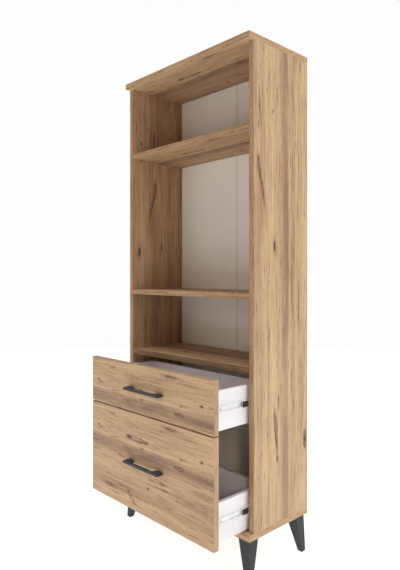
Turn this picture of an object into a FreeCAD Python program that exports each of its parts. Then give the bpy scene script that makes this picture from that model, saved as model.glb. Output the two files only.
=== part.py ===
import FreeCAD, Part
import os
import re

import Sketcher

# Bookcase with two bottom drawers: +Z up, millimetres, the open side facing -Y.
# The origin is on the floor, in the middle of the whole object's box with the drawers part open.

document = FreeCAD.newDocument("bookcase")
sheet = document.addObject("Spreadsheet::Sheet", "Sizes")

# ---------------------------------------------------------------------------
# Driving sizes. Every one is set by itself and written once.
# ---------------------------------------------------------------------------

sizes = {
    # carcass
    "cabinet_width": 600,
    "cabinet_height": 1578,
    "side_depth": 260,
    "board_thickness": 18,
    "leg_height": 120,
    "drawer_bay_height": 458,
    "lower_bay_height": 198,
    "upper_bay_height": 236,
    # thin back in grooves, and the strip that joins its two sheets
    "back_thickness": 3,
    "back_inset": 17,
    "groove_depth": 6,
    "groove_play": 0.2,
    "groove_end_play": 1,
    "joint_offset": 13,
    "strip_width": 8,
    "strip_flange": 0.8,
    "strip_web": 1.2,
    # legs
    "leg_head_width": 42,
    "leg_foot_width": 18,
    "leg_head_inset": 8,
    "leg_foot_inset": 4,
    "plate_thickness": 2,
    "plate_ear": 20,
    "glide_thickness": 2,
    "glide_margin": 2,
    "leg_bolt_radius": 4,
    "leg_bolt_reach": 30,
    # drawer fronts and boxes
    "front_thickness": 18,
    "front_side_margin": 1.5,
    "front_gap": 3,
    "front_back_gap": 2,
    "upper_front_height": 150,
    "upper_front_lap": 4,
    "rest_opening": 140,
    "box_top_gap": 34,
    "box_lift": 1,
    "box_rear_gap": 11,
    "box_board": 12,
    "bottom_thickness": 3,
    "bottom_rise": 10,
    "bottom_groove": 5,
    # ball-bearing slides: an outer rail on the cabinet, a middle one and an inner one on the drawer
    "slide_thickness": 10,
    "slide_rise": 60,
    "slide_setback": 2,
    "slide_rear_margin": 7,
    "slide_wall": 1,
    "outer_rail_height": 27,
    "outer_rail_flange": 7,
    "outer_ball_radius": 1.2,
    "inner_ball_radius": 0.8,
    "rail_lip_play": 1.5,
    "rail_web_play": 0.4,
    "rail_edge_play": 1,
    "rail_face_play": 1.6,
    "middle_rail_setback": 43,
    "middle_rail_tail": 2,
    "cage_stop": 3,
    "cage_thickness": 0.5,
    "cage_side_play": 0.5,
    "cage_end_margin": 8,
    "first_rail_screw": 29,
    "last_rail_screw": 32,
    "rail_slot_distance": 67,
    "rail_slot_length": 12,
    "rail_slot_width": 4,
    # handles
    "handle_length": 168,
    "handle_projection": 24,
    "handle_bar": 8,
    "handle_height": 8,
    "handle_foot": 24,
    "handle_flare": 7,
    "handle_inner_radius": 4,
    "handle_edge_radius": 0.6,
    # fixings
    "fit_play": 0.05,
    "tip_play": 1,
    "board_skin": 5,
    "box_skin": 3,
    "head_margin": 1.5,
    "recess_width": 0.9,
    "recess_share": 0.6,
    "fixing_front_inset": 50,
    "fixing_rear_inset": 60,
    "dowel_spacing": 32,
    "dowel_radius": 4,
    "dowel_length": 30,
    "confirmat_radius": 3.5,
    "confirmat_length": 50,
    "confirmat_head_height": 4,
    "cam_radius": 7.5,
    "cam_distance": 24,
    "cam_bolt_radius": 3,
    "cam_slot_play": 0.6,
    "pin_radius": 2.5,
    "pin_grip": 8,
    "pin_reach": 7,
    "pin_collar_width": 1,
    "pin_front_inset": 36,
    "pin_rear_inset": 36,
    "spare_hole_rise": 66,
    "spare_hole_drop": 60,
    "plate_screw_radius": 2,
    "plate_screw_head": 2,
    "rail_screw_radius": 1.5,
    "rail_screw_head": 1.2,
    "front_screw_radius": 2,
    "front_screw_head": 2,
    "front_screw_inset": 70,
    "front_screw_rise": 30,
    "handle_screw_radius": 2,
    "handle_screw_head": 2.4,
    "handle_screw_grip": 10,
    "box_dowel_length": 25,
    "box_dowel_inset": 25,
}

# How many balls stand in a row along each cage strip.
outer_ball_count = 5
inner_ball_count = 4

# ---------------------------------------------------------------------------
# Sizes and places that follow from the driving ones.
# ---------------------------------------------------------------------------

formulas = {
    # carcass, side to side
    "left_outer": "-cabinet_width / 2",
    "right_outer": "cabinet_width / 2",
    "left_inner": "left_outer + board_thickness",
    "right_inner": "right_outer - board_thickness",
    "inner_width": "cabinet_width - 2 * board_thickness",
    "left_mid": "left_outer + board_thickness / 2",
    "right_mid": "right_outer - board_thickness / 2",
    # carcass, front to back
    "overhang": "front_thickness + front_back_gap",
    "front_reach": "overhang + rest_opening + handle_projection",
    "front_plane": "(front_reach - side_depth) / 2",
    "rear_plane": "front_plane + side_depth",
    "board_front": "front_plane - overhang",
    "board_depth": "side_depth + overhang",
    "back_face": "rear_plane - back_inset - back_thickness",
    "shelf_depth": "side_depth - back_inset - back_thickness - strip_flange",
    "front_fixing_y": "front_plane + fixing_front_inset",
    "rear_fixing_y": "rear_plane - fixing_rear_inset",
    "front_dowel_y": "front_fixing_y + dowel_spacing",
    "rear_dowel_y": "rear_fixing_y - dowel_spacing",
    # carcass, floor to top
    "side_bottom": "leg_height + board_thickness",
    "side_top": "cabinet_height - board_thickness",
    "side_height": "side_top - side_bottom",
    "lower_shelf_bottom": "side_bottom + drawer_bay_height",
    "lower_shelf_top": "lower_shelf_bottom + board_thickness",
    "middle_shelf_bottom": "lower_shelf_top + lower_bay_height",
    "upper_shelf_bottom": "side_top - upper_bay_height - board_thickness",
    # back
    "groove_width": "back_thickness + groove_play",
    "groove_reach": "groove_depth - groove_end_play",
    "sheet_bottom": "side_bottom - groove_reach",
    "sheet_height": "side_height + 2 * groove_reach",
    "sheet_gap": "strip_web / 2 + fit_play",
    # legs
    "plate_bottom": "leg_height - plate_thickness",
    "plate_width": "leg_head_width + plate_ear",
    "plate_screw_length": "plate_thickness + board_thickness - board_skin - tip_play",
    "glide_width": "leg_foot_width - 2 * glide_margin",
    "leg_bolt_length": "leg_bolt_reach + plate_thickness + board_grip",
    # drawers
    "front_width": "cabinet_width - 2 * front_side_margin",
    "front_left": "left_outer + front_side_margin",
    "lower_front_bottom": "side_bottom + front_gap",
    "upper_front_top": "lower_shelf_bottom + upper_front_lap",
    "upper_front_bottom": "upper_front_top - upper_front_height",
    "lower_front_height": "upper_front_bottom - front_gap - lower_front_bottom",
    "front_outer_y": "front_plane - overhang - rest_opening",
    "front_inner_y": "front_outer_y + front_thickness",
    "box_outer_width": "inner_width - 2 * slide_thickness",
    "box_inner_width": "box_outer_width - 2 * box_board",
    "box_height": "upper_front_height - upper_front_lap - box_lift - box_top_gap",
    "box_depth": "side_depth - back_inset - back_thickness + front_back_gap - box_rear_gap",
    "box_left": "-box_outer_width / 2",
    "box_right": "box_outer_width / 2",
    "box_left_inner": "box_left + box_board",
    "box_right_inner": "box_right - box_board",
    "box_rear_y": "front_inner_y + box_depth",
    # slides, along their length
    "slide_start": "front_plane + slide_setback",
    "slide_length": "box_depth - front_back_gap - slide_setback - slide_rear_margin",
    "middle_rail_length": "slide_length - middle_rail_setback - middle_rail_tail",
    "outer_cage_setback": "slide_length / 4 + cage_stop",
    "outer_cage_length": "middle_rail_setback + middle_rail_length - slide_length / 4"
                         " - cage_stop - outer_cage_setback",
    "inner_cage_setback": "middle_rail_setback + slide_length / 4 + cage_stop",
    "inner_cage_length": "slide_length * 3 / 4 - cage_stop - inner_cage_setback",
    # slides, in section: half heights from their middle, and distances from the cabinet wall
    "outer_half": "outer_rail_height / 2",
    "outer_race": "outer_half - slide_wall",
    "middle_half": "outer_race - 2 * (outer_ball_radius + fit_play)",
    "middle_race": "middle_half - slide_wall",
    "inner_half": "middle_race - 2 * (inner_ball_radius + fit_play)",
    "outer_lip": "outer_half - middle_half - rail_lip_play",
    "outer_ball_z": "(outer_race + middle_half) / 2",
    "outer_ball_u": "outer_rail_flange / 2",
    "inner_ball_z": "(middle_race + inner_half) / 2",
    "middle_rail_web": "slide_wall + rail_screw_head + rail_web_play",
    "middle_rail_edge": "slide_thickness - rail_face_play",
    "inner_rail_edge": "middle_rail_web + slide_wall + rail_edge_play",
    "inner_ball_u": "(inner_rail_edge + middle_rail_edge) / 2",
    # fixings
    "board_hole": "board_thickness - board_skin",
    "board_grip": "board_hole - tip_play",
    "box_hole": "box_board - box_skin",
    "box_grip": "box_hole - tip_play",
    "cam_slot_radius": "cam_bolt_radius + cam_slot_play",
    "cam_bolt_length": "board_grip + cam_distance - cam_slot_radius",
    "pin_z": "upper_shelf_bottom - pin_radius",
    "pin_collar_radius": "pin_radius + head_margin",
    "rail_screw_length": "slide_wall + box_grip",
    "front_screw_hole": "front_thickness - board_skin",
    "front_screw_length": "box_board + front_screw_hole - tip_play",
    "handle_screw_reach": "handle_length / 2 - handle_foot / 2",
}


def formula(text):
    """Spell a formula out in the cells of the sheet."""
    def spell(match):
        word = match.group(0)
        if word in formulas:
            return "(" + formula(formulas[word]) + ")"
        return "Sizes." + word
    return re.sub(r"[a-z][a-z_]+", spell, text)


for row, (alias, number) in enumerate(sizes.items(), start=1):
    sheet.set(f"A{row}", alias.replace("_", " "))
    sheet.set(f"B{row}", str(number))
    sheet.setAlias(f"B{row}", alias)
document.recompute()

# ---------------------------------------------------------------------------
# Ways of making a piece. Each binds what it makes to the sheet.
# ---------------------------------------------------------------------------

directions = {
    "+x": FreeCAD.Vector(1, 0, 0),
    "-x": FreeCAD.Vector(-1, 0, 0),
    "+y": FreeCAD.Vector(0, 1, 0),
    "-y": FreeCAD.Vector(0, -1, 0),
    "+z": FreeCAD.Vector(0, 0, 1),
    "-z": FreeCAD.Vector(0, 0, -1),
}
nodes = []


def place(item, at):
    """Tie the three coordinates of an object's place to the sheet."""
    for axis, text in zip("xyz", at):
        item.setExpression("Placement.Base." + axis, formula(text))


def point_along(item, along, turn=0):
    """Point an object's own Z axis one of the six ways, and then turn the object about it."""
    pointed = FreeCAD.Rotation(directions["+z"], directions[along])
    turned = FreeCAD.Rotation(directions[along], turn).multiply(pointed)
    item.Placement = FreeCAD.Placement(FreeCAD.Vector(), turned)


def box(name, lengths, at):
    """Straight-edged block from its low corner."""
    item = document.addObject("Part::Box", name)
    for key, text in zip(("Length", "Width", "Height"), lengths):
        item.setExpression(key, formula(text))
    place(item, at)
    return item


def rod(name, radius, length, at, along):
    """Round bar, or the drill that makes a hole, starting at a point and running one way."""
    item = document.addObject("Part::Cylinder", name)
    item.setExpression("Radius", formula(radius))
    item.setExpression("Height", formula(length))
    point_along(item, along)
    place(item, at)
    return item


def fuse(name, pieces):
    """One solid made of several."""
    item = document.addObject("Part::MultiFuse", name)
    item.Shapes = pieces
    return item


def cut(name, blank, tools):
    """A blank with every tool taken out of it."""
    item = document.addObject("Part::Cut", name)
    item.Base = blank
    item.Tool = tools[0] if len(tools) == 1 else fuse(name + "_tools", tools)
    return item


def copy_of(model, name, at, along, turn=0):
    """Another of the same piece, at its own place."""
    item = document.addObject("App::Link", name)
    item.LinkedObject = model
    point_along(item, along, turn)
    place(item, at)
    return item


def group(name, pieces):
    """Separate solids that share one node."""
    item = document.addObject("Part::Compound", name)
    item.Links = pieces
    return item


def node(item, name):
    """Make an object one of the sub-parts that are written out."""
    item.Label = name
    nodes.append(item)
    return item


def extrusion(name, corners, length, at):
    """Bar of constant section along Y: its outline in X and Z, every corner tied to the sheet."""
    body = document.addObject("PartDesign::Body", name)
    sketch = body.newObject("Sketcher::SketchObject", name + "_section")
    draw_outline(body, sketch, "XZ_Plane", corners)
    pad = body.newObject("PartDesign::Pad", name + "_pad")
    pad.Profile = sketch
    pad.Reversed = True
    pad.setExpression("Length", formula(length))
    place(body, at)
    return body


def draw_outline(body, sketch, role, corners):
    """Closed outline on one of a body's own planes, each corner dimensioned from the origin."""
    plane = [item for item in body.Origin.OriginFeatures if item.Role == role][0]
    sketch.AttachmentSupport = [(plane, "")]
    sketch.MapMode = "FlatFace"
    count = len(corners)
    rough = Part.makeCircle(1).discretize(count + 1)
    for index in range(count):
        sketch.addGeometry(Part.LineSegment(rough[index], rough[index + 1]), False)
    for index in range(count):
        sketch.addConstraint(Sketcher.Constraint("Coincident", index, 2, (index + 1) % count, 1))
    for index, corner in enumerate(corners):
        for kind, text in zip(("DistanceX", "DistanceY"), corner):
            held = sketch.addConstraint(Sketcher.Constraint(kind, -1, 1, index, 1, 1))
            sketch.setExpression(f"Constraints[{held}]", formula(text))


def screw(name, radius, length, head_height):
    """Pan-head screw with a cross recess: the head's seat at the origin, the shank along +Z."""
    head_radius = f"({radius} + head_margin)"
    shank = rod(name + "_shank", radius, length, ("0", "0", "0"), "+z")
    head = rod(name + "_head", head_radius, head_height, ("0", "0", "0"), "-z")
    recess_depth = f"{head_height} * recess_share"
    recess_length = f"{head_radius} * 2 * recess_share"
    low_z = f"-({head_height})"
    across = box(name + "_recess_x", (recess_length, "recess_width", recess_depth),
                 (f"-({recess_length}) / 2", "-recess_width / 2", low_z))
    along = box(name + "_recess_y", ("recess_width", recess_length, recess_depth),
                ("-recess_width / 2", f"-({recess_length}) / 2", low_z))
    return cut(name, fuse(name + "_blank", [shank, head]), [across, along])


# ---------------------------------------------------------------------------
# Blanks of the carcass boards. Their holes and grooves are gathered in cuts.
# ---------------------------------------------------------------------------

blanks = {
    "top_board": box("top_board_blank", ("cabinet_width", "board_depth", "board_thickness"),
                     ("left_outer", "board_front", "side_top")),
    "bottom_board": box("bottom_board_blank", ("cabinet_width", "board_depth", "board_thickness"),
                        ("left_outer", "board_front", "leg_height")),
    "left_side": box("left_side_blank", ("board_thickness", "side_depth", "side_height"),
                     ("left_outer", "front_plane", "side_bottom")),
    "right_side": box("right_side_blank", ("board_thickness", "side_depth", "side_height"),
                      ("right_inner", "front_plane", "side_bottom")),
}
for name, level in (("lower_shelf", "lower_shelf_bottom"),
                    ("middle_shelf", "middle_shelf_bottom"),
                    ("upper_shelf", "upper_shelf_bottom")):
    blanks[name] = box(name + "_blank", ("inner_width", "shelf_depth", "board_thickness"),
                       ("left_inner", "front_plane", level))
cuts = {name: [] for name in blanks}


def drill(board, radius, length, at, along):
    """One hole in a board, with the running play that its fastener needs."""
    name = f"{board}_hole_{len(cuts[board]) + 1}"
    cuts[board].append(rod(name, f"{radius} + fit_play", length, at, along))


# Grooves for the back: along both sides, and along the top and bottom boards.
cuts["left_side"].append(
    box("left_groove", ("groove_depth", "groove_width", "side_height"),
        ("left_inner - groove_depth", "back_face", "side_bottom")))
cuts["right_side"].append(
    box("right_groove", ("groove_depth", "groove_width", "side_height"),
        ("right_inner", "back_face", "side_bottom")))
for board, level in (("top_board", "side_top"), ("bottom_board", "side_bottom - groove_depth")):
    cuts[board].append(
        box(board + "_groove", ("inner_width + 2 * groove_depth", "groove_width", "groove_depth"),
            ("left_inner - groove_depth", "back_face", level)))

# ---------------------------------------------------------------------------
# Back: two thin sheets held in the grooves, butted in an H-shaped strip.
# ---------------------------------------------------------------------------

node(box("back_sheet_left",
         ("joint_offset - sheet_gap - left_inner + groove_reach", "back_thickness", "sheet_height"),
         ("left_inner - groove_reach", "back_face", "sheet_bottom")), "back_sheet_left")
node(box("back_sheet_right",
         ("right_inner + groove_reach - joint_offset - sheet_gap", "back_thickness", "sheet_height"),
         ("joint_offset + sheet_gap", "back_face", "sheet_bottom")), "back_sheet_right")

strip_left = "joint_offset - strip_width / 2"
strip = fuse("back_joint_strip", [
    box("strip_web_blank", ("strip_web", "back_thickness", "side_height"),
        ("joint_offset - strip_web / 2", "back_face", "side_bottom")),
    box("strip_front_flange", ("strip_width", "strip_flange", "side_height"),
        (strip_left, "back_face - strip_flange", "side_bottom")),
    box("strip_rear_flange", ("strip_width", "strip_flange", "side_height"),
        (strip_left, "back_face + back_thickness", "side_bottom")),
])
node(strip, "back_joint_strip")

# ---------------------------------------------------------------------------
# Legs: four tapered square posts that lean outwards. A bolt holds each to a plate that is
# screwed under the bottom board, and a glide covers its foot.
# ---------------------------------------------------------------------------

plate_screw = screw("plate_screw_model", "plate_screw_radius", "plate_screw_length",
                    "plate_screw_head")
leg_bolt = rod("leg_bolt_model", "leg_bolt_radius", "leg_bolt_length", ("0", "0", "0"), "+z")
plates = []
plate_screws = []
leg_bolts = []
glides = []


def from_edge(edge, side, inset, width):
    """Low and high coordinates of a width that starts an inset away from a board's edge."""
    if side < 0:
        return f"{edge} + ({inset})", f"{edge} + ({inset}) + {width}"
    return f"{edge} - ({inset}) - {width}", f"{edge} - ({inset})"


for corner, side_x, side_y in (("front_left", -1, -1), ("front_right", 1, -1),
                               ("rear_left", -1, 1), ("rear_right", 1, 1)):
    edge_x = "left_outer" if side_x < 0 else "right_outer"
    edge_y = "board_front" if side_y < 0 else "rear_plane"
    head_x = from_edge(edge_x, side_x, "leg_head_inset", "leg_head_width")
    head_y = from_edge(edge_y, side_y, "leg_head_inset", "leg_head_width")
    foot_x = from_edge(edge_x, side_x, "leg_foot_inset", "leg_foot_width")
    foot_y = from_edge(edge_y, side_y, "leg_foot_inset", "leg_foot_width")
    plate_x = from_edge(edge_x, side_x, "leg_head_inset", "plate_width")
    plate_y = from_edge(edge_y, side_y, "leg_head_inset", "plate_width")

    # A wedge tapers along its own Y axis, which is turned here to point up.
    leg = document.addObject("Part::Wedge", corner + "_leg_blank")
    leg.Placement = FreeCAD.Placement(FreeCAD.Vector(), FreeCAD.Rotation(directions["+x"], 90))
    bounds = {
        "Xmin": foot_x[0], "Xmax": foot_x[1], "Zmin": f"-({foot_y[1]})", "Zmax": f"-({foot_y[0]})",
        "X2min": head_x[0], "X2max": head_x[1], "Z2min": f"-({head_y[1]})", "Z2max": f"-({head_y[0]})",
        "Ymin": "glide_thickness", "Ymax": "plate_bottom",
    }
    for key, text in bounds.items():
        leg.setExpression(key, formula(text))
    bolt_x = from_edge(edge_x, side_x, "leg_head_inset + leg_head_width / 2", "0")[0]
    bolt_y = from_edge(edge_y, side_y, "leg_head_inset + leg_head_width / 2", "0")[0]
    bolt_hole = rod(corner + "_leg_bolt_hole", "leg_bolt_radius + fit_play",
                    "leg_bolt_reach + tip_play", (bolt_x, bolt_y, "plate_bottom"), "-z")
    node(cut(corner + "_leg", leg, [bolt_hole]), corner + "_leg")
    leg_bolts.append(copy_of(leg_bolt, corner + "_leg_bolt",
                             (bolt_x, bolt_y, "plate_bottom - leg_bolt_reach"), "+z"))
    drill("bottom_board", "leg_bolt_radius", "board_hole", (bolt_x, bolt_y, "leg_height"), "+z")

    # Each plate covers the leg's head and reaches inwards past it, where its screws go.
    plate = box(corner + "_plate_blank", ("plate_width", "plate_width", "plate_thickness"),
                (plate_x[0], plate_y[0], "plate_bottom"))
    near = "leg_head_inset + plate_ear / 2"
    far = "leg_head_inset + plate_width - plate_ear / 2"
    plate_holes = [rod(corner + "_plate_bolt_hole", "leg_bolt_radius + fit_play",
                       "plate_thickness", (bolt_x, bolt_y, "plate_bottom"), "+z")]
    for number, (reach_x, reach_y) in enumerate(((far, far), (near, far), (far, near)), start=1):
        name = f"{corner}_plate_screw_{number}"
        hole_x = from_edge(edge_x, side_x, reach_x, "0")[0]
        hole_y = from_edge(edge_y, side_y, reach_y, "0")[0]
        plate_holes.append(rod(name + "_hole", "plate_screw_radius + fit_play", "plate_thickness",
                               (hole_x, hole_y, "plate_bottom"), "+z"))
        drill("bottom_board", "plate_screw_radius", "board_hole",
              (hole_x, hole_y, "leg_height"), "+z")
        plate_screws.append(copy_of(plate_screw, name, (hole_x, hole_y, "plate_bottom"), "+z"))
    plates.append(cut(corner + "_plate", plate, plate_holes))

    glide_inset = "leg_foot_inset + glide_margin"
    glides.append(box(corner + "_glide", ("glide_width", "glide_width", "glide_thickness"),
                      (from_edge(edge_x, side_x, glide_inset, "glide_width")[0],
                       from_edge(edge_y, side_y, glide_inset, "glide_width")[0], "0")))
node(group("leg_plates", plates), "leg_plates")
node(group("leg_plate_screws", plate_screws), "leg_plate_screws")
node(group("leg_bolts", leg_bolts), "leg_bolts")
node(group("foot_glides", glides), "foot_glides")

# ---------------------------------------------------------------------------
# Corner joints: a long screw and a dowel near the front and near the back of each side's ends.
# ---------------------------------------------------------------------------

confirmat = screw("confirmat_model", "confirmat_radius", "confirmat_length",
                  "confirmat_head_height")
dowel = rod("dowel_model", "dowel_radius", "dowel_length", ("0", "0", "0"), "+z")
confirmats = []
dowels = []
for side, middle in (("left_side", "left_mid"), ("right_side", "right_mid")):
    for board, outside, seam, inwards, step in (
            ("bottom_board", "leg_height", "side_bottom", "+z", "+"),
            ("top_board", "cabinet_height", "side_top", "-z", "-")):
        for number, (screw_y, dowel_y) in enumerate(
                (("front_fixing_y", "front_dowel_y"), ("rear_fixing_y", "rear_dowel_y")), start=1):
            name = f"{side}_{board}_{number}"
            # The head is sunk flush with the board's outer surface.
            seat = f"{outside} {step} confirmat_head_height"
            drill(board, "confirmat_radius + head_margin", "confirmat_head_height",
                  (middle, screw_y, outside), inwards)
            drill(board, "confirmat_radius", "board_thickness", (middle, screw_y, outside), inwards)
            drill(side, "confirmat_radius",
                  "confirmat_head_height + confirmat_length - board_thickness + tip_play",
                  (middle, screw_y, seam), inwards)
            confirmats.append(copy_of(confirmat, name + "_screw", (middle, screw_y, seat), inwards))
            # The dowel reaches into the board by its grip, and into the side's end by the rest.
            backwards = "-z" if inwards == "+z" else "+z"
            drill(board, "dowel_radius", "board_hole", (middle, dowel_y, seam), backwards)
            drill(side, "dowel_radius", "dowel_length - board_grip + tip_play",
                  (middle, dowel_y, seam), inwards)
            start = f"{seam} - board_grip" if step == "+" else f"{seam} + board_grip"
            dowels.append(copy_of(dowel, name + "_dowel", (middle, dowel_y, start), inwards))
node(group("confirmat_screws", confirmats), "confirmat_screws")

# ---------------------------------------------------------------------------
# Fixed shelves: cam discs let into their undersides, bolts out of the sides, and dowels.
# ---------------------------------------------------------------------------

cam_blank = rod("cam_blank", "cam_radius - fit_play", "board_hole", ("0", "0", "0"), "-z")
cam_slot = rod("cam_slot", "cam_slot_radius", "cam_radius + cam_slot_radius",
               ("-cam_slot_radius", "0", "board_thickness / 2 - board_hole"), "+x")
cam = cut("cam_model", cam_blank, [cam_slot])
cam_bolt = rod("cam_bolt_model", "cam_bolt_radius", "cam_bolt_length", ("0", "0", "0"), "+z")
cam_discs = []
cam_bolts = []
for shelf, shelf_bottom in (("lower_shelf", "lower_shelf_bottom"),
                            ("middle_shelf", "middle_shelf_bottom")):
    for side, wall, inwards, outwards, step in (
            ("left_side", "left_inner", "+x", "-x", "+"),
            ("right_side", "right_inner", "-x", "+x", "-")):
        back_step = "-" if step == "+" else "+"
        for number, (cam_y, dowel_y) in enumerate(
                (("front_fixing_y", "front_dowel_y"), ("rear_fixing_y", "rear_dowel_y")), start=1):
            name = f"{shelf}_{side}_{number}"
            axis_z = f"{shelf_bottom} + board_thickness / 2"
            cam_x = f"{wall} {step} cam_distance"
            drill(shelf, "cam_radius", "board_hole", (cam_x, cam_y, shelf_bottom), "+z")
            drill(shelf, "cam_bolt_radius", "cam_distance", (wall, cam_y, axis_z), inwards)
            drill(side, "cam_bolt_radius", "board_hole", (wall, cam_y, axis_z), outwards)
            # The disc is turned so that its slot faces its own bolt.
            cam_discs.append(copy_of(cam, name + "_cam",
                                     (cam_x, cam_y, f"{shelf_bottom} + board_hole"), "+z",
                                     turn=180 if step == "+" else 0))
            cam_bolts.append(copy_of(cam_bolt, name + "_bolt",
                                     (f"{wall} {back_step} board_grip", cam_y, axis_z), inwards))
            drill(side, "dowel_radius", "board_hole", (wall, dowel_y, axis_z), outwards)
            drill(shelf, "dowel_radius", "dowel_length - board_grip + tip_play",
                  (wall, dowel_y, axis_z), inwards)
            dowels.append(copy_of(dowel, name + "_dowel",
                                  (f"{wall} {back_step} board_grip", dowel_y, axis_z), inwards))
node(group("cam_discs", cam_discs), "cam_discs")
node(group("cam_bolts", cam_bolts), "cam_bolts")
node(group("wooden_dowels", dowels), "wooden_dowels")

# ---------------------------------------------------------------------------
# Upper shelf: it rests on four pins, and spare holes above them let it move up.
# ---------------------------------------------------------------------------

pin = fuse("shelf_pin_model", [
    rod("pin_body", "pin_radius", "pin_grip + pin_reach", ("0", "0", "0"), "+z"),
    rod("pin_collar", "pin_collar_radius", "pin_collar_width", ("0", "0", "pin_grip"), "+z"),
])
# The collar is a flat-topped step, so it stays below the shelf that the pin's body carries.
pin_step = box("pin_collar_flat",
               ("pin_collar_radius", "2 * pin_collar_radius", "pin_grip + pin_reach"),
               ("pin_radius", "-pin_collar_radius", "0"))
pin = cut("shelf_pin", pin, [pin_step])
pins = []
for side, wall, inwards, outwards, back_step, top_turn in (
        ("left_side", "left_inner", "+x", "-x", "-", 180),
        ("right_side", "right_inner", "-x", "+x", "+", 0)):
    for number, pin_y in enumerate(
            ("front_plane + pin_front_inset", "back_face - pin_rear_inset"), start=1):
        for level in ("pin_z", "pin_z + spare_hole_rise", "side_top - spare_hole_drop"):
            drill(side, "pin_radius", "pin_grip + tip_play", (wall, pin_y, level), outwards)
        # The pin is turned so that its collar's flat faces up.
        pins.append(copy_of(pin, f"{side}_pin_{number}",
                            (f"{wall} {back_step} pin_grip", pin_y, "pin_z"), inwards,
                            turn=top_turn))
node(group("shelf_pins", pins), "shelf_pins")

# ---------------------------------------------------------------------------
# Drawers, each with its pair of three-part ball-bearing slides.
# ---------------------------------------------------------------------------

rail_screw = screw("rail_screw_model", "rail_screw_radius", "rail_screw_length",
                   "rail_screw_head")
front_screw = screw("front_screw_model", "front_screw_radius", "front_screw_length",
                    "front_screw_head")
box_dowel = rod("box_dowel_model", "dowel_radius", "box_dowel_length", ("0", "0", "0"), "+z")
cabinet_rail_screws = []

# Each wall is where a slide stands, and its sign is the way from there to the drawer.
walls = (("left", "left_inner", 1), ("right", "right_inner", -1))


def across(wall, sign, distance):
    """X coordinate at a distance from a cabinet wall towards the drawer."""
    return f"{wall} + {sign} * ({distance})"


def channel(name, sign, web_face, inward, flange_end, half, lip, length, at):
    """C-shaped rail along Y: a web, two flanges and, if it has them, lips that keep the balls in.

    web_face and flange_end are distances from the cabinet wall; inward is the way from the web's
    face into the channel.
    """
    backward = "-" if inward == "+" else "+"
    lower = [(web_face, f"-({half})"), (flange_end, f"-({half})")]
    if lip:
        lower.append((flange_end, f"-({half}) + {lip}"))
        lower.append((f"{flange_end} {backward} slide_wall", f"-({half}) + {lip}"))
        lower.append((f"{flange_end} {backward} slide_wall", f"-({half}) + slide_wall"))
    else:
        lower.append((flange_end, f"-({half}) + slide_wall"))
    lower.append((f"{web_face} {inward} slide_wall", f"-({half}) + slide_wall"))
    upper = [(u, f"-({z})") for u, z in reversed(lower)]
    corners = [(f"{sign} * ({u})", z) for u, z in lower + upper]
    return extrusion(name, corners, length, at)


def low_corner(sign, near, far):
    """Of two X coordinates given from a cabinet wall outwards, the lower one."""
    return near if sign > 0 else far


def ball_cage(name, near, far, start_y, length, ball_radius, ball_u, ball_z, count, level):
    """Strips above and below both slides of a drawer, each holding a row of balls."""
    pieces = []
    pitch = f"({length} - 2 * cage_end_margin) / {count - 1}"
    for side, wall, sign in walls:
        ball_x = across(wall, sign, ball_u)
        for row_name, step in (("upper", "+"), ("lower", "-")):
            label = f"{name}_{side}_{row_name}"
            row_z = f"{level} {step} {ball_z}"
            strip_x = low_corner(sign, across(wall, sign, near), across(wall, sign, far))
            strip = box(label + "_blank", (f"{far} - ({near})", length, "cage_thickness"),
                        (strip_x, start_y, f"{row_z} - cage_thickness / 2"))
            seats = []
            for number in range(count):
                ball_y = f"{start_y} + cage_end_margin + {number} * {pitch}"
                seats.append(rod(f"{label}_seat_{number + 1}", f"{ball_radius} + fit_play",
                                 "cage_thickness", (ball_x, ball_y, f"{row_z} - cage_thickness / 2"),
                                 "+z"))
                ball = document.addObject("Part::Sphere", f"{label}_ball_{number + 1}")
                ball.setExpression("Radius", formula(ball_radius))
                place(ball, (ball_x, ball_y, row_z))
                pieces.append(ball)
            pieces.append(cut(label, strip, seats))
    return group(name, pieces)


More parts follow.
